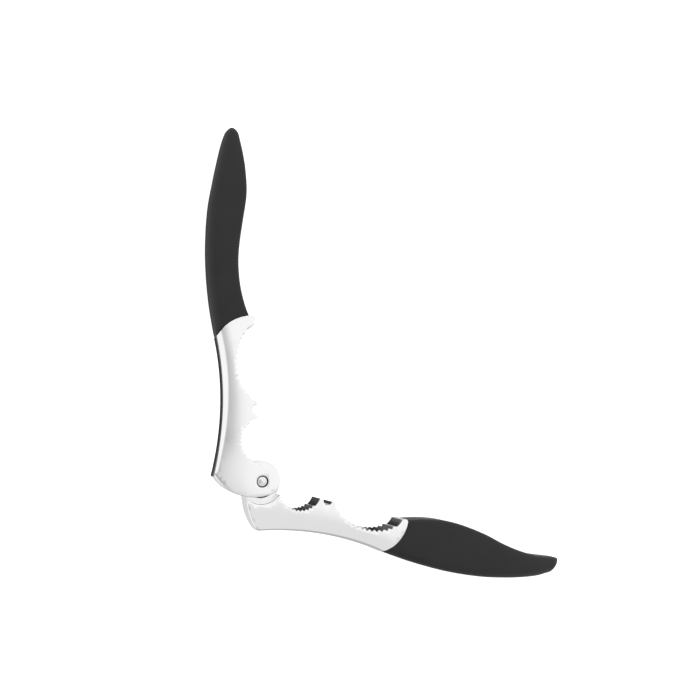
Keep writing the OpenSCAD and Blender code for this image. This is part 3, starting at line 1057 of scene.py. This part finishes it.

# %% [markdown]
# ## The finishes of this tool
# The castings are satin plated: bright metal, a little softer than a mirror. The grips are soft
# black rubber with a low shine. The pin is turned steel. The sunk ring around its heads gets a dark
# material, which is painted shade for the deep gap there. The pieces hidden in the grips get finishes
# of their own, so that they still look right when the grips are taken away.

# %% Make the finishes
metal, _ = new_finish("satin_plating", (0.91, 0.91, 0.915), (0.95, 0.95, 0.95), (0.1, 0.16), 1,
                      60, 1500, 0.000001)
rubber, rubber_shader = new_finish("soft_rubber", (0.0065, 0.0065, 0.0068),
                                   (0.0095, 0.0095, 0.0098), (0.42, 0.6), 0, 90, 2600, 0.00001)
rubber_shader.inputs["Specular IOR Level"].default_value = 0.42
steel, _ = new_finish("turned_steel", (0.8, 0.8, 0.81), (0.9, 0.9, 0.9), (0.14, 0.24), 1,
                      300, 1200, 0.000002)
drawn, _ = new_finish("drawn_steel", (0.45, 0.45, 0.46), (0.62, 0.62, 0.63), (0.25, 0.4), 1,
                      200, 1500, 0.000002, (1, 1, 0.1))
nylon, _ = new_finish("dark_nylon", (0.02, 0.02, 0.02), (0.035, 0.035, 0.035), (0.4, 0.55), 0,
                      150, 1500, 0.000003)
hard, _ = new_finish("hard_plastic", (0.03, 0.03, 0.032), (0.05, 0.05, 0.052), (0.3, 0.45), 0,
                     100, 1200, 0.000004)
# A dark material that paints the shade of the deep gap in the counterbores around the pin heads.
counterbore_shade, _ = new_finish("painted_shade_ring", (0.03, 0.03, 0.03), (0.07, 0.07, 0.07), (0.5, 0.7), 0,
                    600, 1500, 0.000003)
print("finishes", [m.name for m in (metal, rubber, steel, drawn, nylon, hard, counterbore_shade)])

# %% [markdown]
# ## Giving each piece its finish
# The cross pins and the hard cores are the CAD model's own meshes, whose shapes are right as they
# are, so only their material changes. The dark ring is a second material on the upper casting,
# given to the faces of the counterbore: painted shade in the deep gap around the pin's heads.

# %% Put the finishes on
drawn_pins = ["lower_front_cross_pin", "lower_rear_cross_pin",
              "upper_front_cross_pin", "upper_rear_cross_pin"]
cores = ["lower_grip_core", "upper_grip_core"]
finishes = [(metal, [lower_casting, upper_casting, lower_tang, upper_tang]),
            (rubber, [lower_grip, upper_grip]), (steel, [hinge_rivet]), (nylon, washers),
            (drawn, [bpy.data.objects[name] for name in drawn_pins]),
            (hard, [bpy.data.objects[name] for name in cores])]
for material, pieces in finishes:
    for piece in pieces:
        piece.data.materials.clear()
        piece.data.materials.append(material)
    print(material.name, "on", ", ".join(piece.name for piece in pieces))

# %% Painted shade in the counterbores
RING_MARGIN = (-0.1, 0.02)
DEPTH_MARGIN = (0.05, 0.1)


def groove_faces(mesh):
    """The faces of the sunk ring around the pin heads, which take the second material: painted shade.
    """
    inner = HINGE["bore"] + RING_MARGIN[0]
    outer = HINGE["counterbore"] + RING_MARGIN[1]
    deepest = HINGE["counterbore_depth"] + DEPTH_MARGIN[1]
    count = 0
    for face in mesh.polygons:
        radius = math.hypot(face.center.x, face.center.y) / MM
        depth = HALF_T - abs(face.center.z / MM - HALF_T)
        if inner < radius < outer and DEPTH_MARGIN[0] < depth < deepest:
            face.material_index = 1
            count += 1
    return count


# The second material paints shade into the counterbore around each pin head.
upper_casting.data.materials.append(counterbore_shade)
print("oiled faces", groove_faces(upper_casting.data))

# %% [markdown]
# ## Floor and backdrop
# The tool lies on a wide pale floor, as in a studio. The floor glows a little, so that it stays
# white, and a large white dome closes the view behind it. Both are hidden from reflections: the
# metal mirrors only the studio light, which is set separately and can be shaped freely.

# %% Plain stage materials
def stage_material(name, base, roughness, glow, specular):
    """A plain white surface that gives off some light of its own."""
    material = bpy.data.materials.new(name)
    material.use_nodes = True
    shader = material.node_tree.nodes["Principled BSDF"]
    shader.inputs["Base Color"].default_value = (base, base, base, 1)
    shader.inputs["Roughness"].default_value = roughness
    shader.inputs["Specular IOR Level"].default_value = specular
    shader.inputs["Emission Color"].default_value = (1, 1, 1, 1)
    shader.inputs["Emission Strength"].default_value = glow
    return material


def stage_object(name, bm, material):
    """An object of the stage, hidden from reflections."""
    mesh = bpy.data.meshes.new(name)
    bm.to_mesh(mesh)
    bm.free()
    mesh.materials.append(material)
    thing = bpy.data.objects.new(name, mesh)
    bpy.context.scene.collection.objects.link(thing)
    thing.visible_glossy = False
    print(name, "added to the stage")
    return thing


# %% Floor
FLOOR_HALF = 40
FLOOR_BELOW = 0.0002
floor_bm = bmesh.new()
bmesh.ops.create_grid(floor_bm, x_segments=1, y_segments=1, size=FLOOR_HALF)
floor = stage_object("floor", floor_bm, stage_material("white_paper", 0.95, 0.9, 0.7, 0.5))
floor.location.z = -FLOOR_BELOW

# %% Backdrop
dome_bm = bmesh.new()
bmesh.ops.create_uvsphere(dome_bm, u_segments=64, v_segments=32, radius=FLOOR_HALF)
bmesh.ops.reverse_faces(dome_bm, faces=dome_bm.faces)
dome = stage_object("backdrop", dome_bm, stage_material("white_wall", 0, 0.5, 0.97, 0))
dome.visible_diffuse = False
dome.visible_transmission = False
dome.visible_shadow = False

# %% [markdown]
# ## Studio light
# Polished metal has almost no shade of its own: it looks like what it mirrors. In a studio that is
# white cards and soft boxes, with dark gaps between them. Lamps could stand for the cards, but
# here the world does it: its brightness depends on the direction that it is seen in. One smooth
# step for each edge of a card is all that it takes.

# %% Smooth steps of a direction
world = bpy.data.worlds.new("studio")
bpy.context.scene.world = world
world.use_nodes = True
nodes = world.node_tree.nodes
link = world.node_tree.links.new
sky = nodes["Background"]
sky.inputs["Color"].default_value = (1, 1, 1, 1)
direction = nodes.new("ShaderNodeTexCoord").outputs["Generated"]
split = nodes.new("ShaderNodeSeparateXYZ")
link(direction, split.inputs[0])
x_part, y_part, z_part = (split.outputs[axis] for axis in "XYZ")


def ramp(source, span, at_low, at_high):
    """A smooth step of a value: at_low below the span, at_high above it."""
    node = nodes.new("ShaderNodeMapRange")
    node.interpolation_type = "SMOOTHSTEP"
    node.inputs["From Min"].default_value = span[0]
    node.inputs["From Max"].default_value = span[1]
    node.inputs["To Min"].default_value = at_low
    node.inputs["To Max"].default_value = at_high
    link(source, node.inputs["Value"])
    return node.outputs[0]


def math_node(operation, a, b):
    """The sum or the product of two values."""
    node = nodes.new("ShaderNodeMath")
    node.operation = operation
    link(a, node.inputs[0])
    link(b, node.inputs[1])
    return node.outputs[0]


print("the sky is white, and its strength will follow its direction")

# %% [markdown]
# ## The upper half of the studio
# A soft grey gap, a little left of straight up, shades faces that tilt to the left, as the upper
# lever's crown does. In front the light steps down at a fairly crisp edge, which gives the lower
# lever its even tone and white rim. Far in front it falls further, so that the wall there is grey.

# %% Light from above
GAP_DIRECTION = Vector((-0.17, -0.08, 0.98)).normalized()
GAP_WIDE_ANGLE = 22
GAP_CORE_ANGLE = 3
GAP_DEPTH = 0.43
GAP_SPAN = [math.cos(math.radians(a)) for a in (GAP_WIDE_ANGLE, GAP_CORE_ANGLE)]
RIGHT_SPAN = (-0.5, -0.1)
FRONT_SPAN = (-0.075, -0.005)
FRONT_LEVEL = 0.79
FAR_FRONT_SPAN = (-0.95, -0.4)
FAR_FRONT_LEVEL = 0.58
UNIT_SPAN = (0, 1)

aim = nodes.new("ShaderNodeVectorMath")
aim.operation = "DOT_PRODUCT"
aim.inputs[1].default_value = GAP_DIRECTION
link(direction, aim.inputs[0])
gap = ramp(aim.outputs["Value"], GAP_SPAN, 1, 1 - GAP_DEPTH)
on_right = ramp(x_part, RIGHT_SPAN, 0, 1)
front = math_node("MULTIPLY", ramp(y_part, FRONT_SPAN, 1, 0), on_right)
far_front = math_node("MULTIPLY", ramp(y_part, FAR_FRONT_SPAN, 1, 0), on_right)
above = math_node("MULTIPLY", gap, ramp(front, UNIT_SPAN, 1, FRONT_LEVEL))
above = math_node("MULTIPLY", above, ramp(far_front, UNIT_SPAN, 1, FAR_FRONT_LEVEL))
print("the gap is", round(1 - GAP_DEPTH, 2), "as bright as the rest")

# %% [markdown]
# ## The lower half of the studio
# Steep walls mirror what lies below the horizon. Most of it is bright, and one dark card at the
# back left puts the dark stripe on the upper lever's back and darkens the teeth. The far left
# glows a little, so that the stripe isn't black.

# %% Light from below
BELOW_BRIGHT = 0.7
BELOW_DARK = 0.02
DARK_Y_SPAN = (-0.12, 0.0)
DARK_X_SPAN = (-0.1, 0.1)
LEFT_SPAN = (-0.38, -0.16)
LEFT_GLOW = 0.09
HORIZON_SPAN = (-0.92, -0.5)

dark_y = ramp(y_part, DARK_Y_SPAN, 0, 1)
dark_x = ramp(x_part, DARK_X_SPAN, 1, 0)
below = ramp(math_node("MULTIPLY", dark_x, dark_y), UNIT_SPAN, BELOW_BRIGHT, BELOW_DARK)
below = math_node("ADD", below, ramp(x_part, LEFT_SPAN, LEFT_GLOW, 0))
upper_part = math_node("MULTIPLY", above, ramp(z_part, HORIZON_SPAN, 0, 1))
lower_part = math_node("MULTIPLY", below, ramp(z_part, HORIZON_SPAN, 1, 0))
link(math_node("ADD", upper_part, lower_part), sky.inputs["Strength"])
bpy.context.scene.view_settings.view_transform = "Standard"
print("the world has", len(nodes), "nodes")

# %% [markdown]
# ## Camera
# The tool is seen from above and a little from the left, with some perspective. The camera is
# given by its place, the direction it looks in and the direction that is up on the screen. Its
# matrix has those directions as columns, with the sight line reversed, because a Blender camera
# looks along its own -Z.

# %% Camera
CAMERA_PLACE = Vector((-0.074793, -0.001311, 0.340))
SIGHT = Vector((0.29101, 0.2277, -0.92923)).normalized()
SCREEN_UP = Vector((-0.30489, 0.9427, 0.13552))
FOCAL_SHARE = 650 / 700
SENSOR_WIDTH = 36
NEAREST = 0.01
camera_data = bpy.data.cameras.new("camera")
camera_data.sensor_width = SENSOR_WIDTH
camera_data.lens = FOCAL_SHARE * SENSOR_WIDTH
camera_data.clip_start = NEAREST
camera = bpy.data.objects.new("camera", camera_data)
bpy.context.scene.collection.objects.link(camera)
across = SIGHT.cross(SCREEN_UP).normalized()
upward = across.cross(SIGHT)
camera.matrix_world = (Matrix.Translation(CAMERA_PLACE)
                       @ Matrix((across, upward, -SIGHT)).transposed().to_4x4())
bpy.context.scene.camera = camera
print("lens", round(camera_data.lens, 1), "mm")

# %% [markdown]
# ## Bringing the scene up to date
# The view layer is updated once more, so that all matrices are current.

# %% Update the view layer
bpy.context.view_layer.update()
